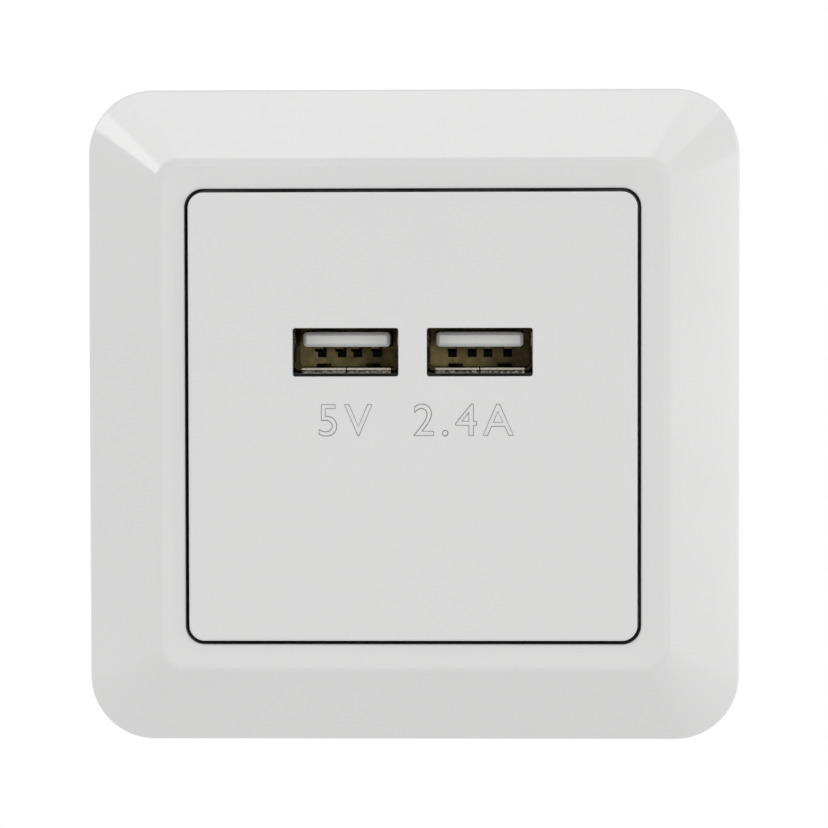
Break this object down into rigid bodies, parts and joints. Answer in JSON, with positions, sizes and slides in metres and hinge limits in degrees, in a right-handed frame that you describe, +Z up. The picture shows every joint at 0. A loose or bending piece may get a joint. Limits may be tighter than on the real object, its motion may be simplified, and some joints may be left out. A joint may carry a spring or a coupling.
{
  "type": "usb wall socket",
  "caption": "Square bevelled wall socket with a flush centre plate, side-by-side USB ports, steel support plate and a charger module with clamp terminals for a wall box.",
  "frame": {"origin": "centre of the box screw pattern in the plane of the wall's surface", "axes": "+Y into the wall, so the front faces -Y; +X to the right seen from the front; +Z up"},
  "size_m": [0.081, 0.0366, 0.081],
  "materials": {
    "white_plastic": "glossy white moulding",
    "tongue_plastic": "white moulded tongue",
    "shell_metal": "pale plated sheet, bright on the lips",
    "contact_metal": "gold-flashed strip",
    "plate_steel": "zinc-plated sheet",
    "housing_plastic": "fine-textured grey moulding",
    "block_plastic": "dark moulding",
    "board_laminate": "green laminate",
    "moulded_black": "black moulded packages",
    "ferrite": "dark sintered core",
    "winding_tape": "yellow tape",
    "can_sleeve": "dark sleeve",
    "moulded_case": "ochre moulded cases",
    "terminal_brass": "plain brass",
    "screw_steel": "plated steel"
  },
  "bodies": {
    "socket": {"frame": "white_plastic", "centre_plate": "white_plastic", "usb_tongue_left": "tongue_plastic", "usb_tongue_right": "tongue_plastic", "usb_shell_left": "shell_metal", "usb_shell_right": "shell_metal", "usb_contacts_left": "contact_metal", "usb_contacts_right": "contact_metal", "header_pins": "contact_metal", "support_plate": "plate_steel", "housing_front": "housing_plastic", "housing_rear": "housing_plastic", "terminal_block": "block_plastic", "usb_board": "board_laminate", "power_board": "board_laminate", "header_body": "moulded_black", "transformer_bobbin": "moulded_black", "bridge_rectifier": "moulded_black", "optocoupler": "moulded_black", "switching_chip": "moulded_black", "rectifier_chip": "moulded_black", "port_chips": "moulded_black", "transformer_core": "ferrite", "transformer_winding": "winding_tape", "bulk_capacitor_lower": "can_sleeve", "bulk_capacitor_upper": "can_sleeve", "output_capacitor_lower": "can_sleeve", "output_capacitor_upper": "can_sleeve", "fuse": "moulded_case", "safety_capacitor": "moulded_case", "terminal_bar_live": "terminal_brass", "terminal_bar_neutral": "terminal_brass"},
    "screw_live": {"terminal_screw_live": "screw_steel"},
    "clamp_live": {"terminal_clamp_live": "terminal_brass"},
    "screw_neutral": {"terminal_screw_neutral": "screw_steel"},
    "clamp_neutral": {"terminal_clamp_neutral": "terminal_brass"}
  },
  "joints": [
    {"name": "terminal_screw_live", "type": "hinge", "parent": "socket", "child": "screw_live", "pos_m": [-0.0046, 0.01962, -0.0172], "axis": [0, 0, 1], "range_deg": [0, 1800]},
    {"name": "terminal_clamp_live", "type": "slide", "parent": "socket", "child": "clamp_live", "axis": [0, 0, -1], "range_m": [0, 0.0025]},
    {"name": "terminal_screw_neutral", "type": "hinge", "parent": "socket", "child": "screw_neutral", "pos_m": [0.0046, 0.01962, -0.0172], "axis": [0, 0, 1], "range_deg": [0, 1800]},
    {"name": "terminal_clamp_neutral", "type": "slide", "parent": "socket", "child": "clamp_neutral", "axis": [0, 0, -1], "range_m": [0, 0.0025]}
  ],
  "couplings": [
    {"joint": "terminal_screw_live", "follows": "terminal_clamp_live", "rad_per_m": 12566},
    {"joint": "terminal_screw_neutral", "follows": "terminal_clamp_neutral", "rad_per_m": 12566}
  ]
}
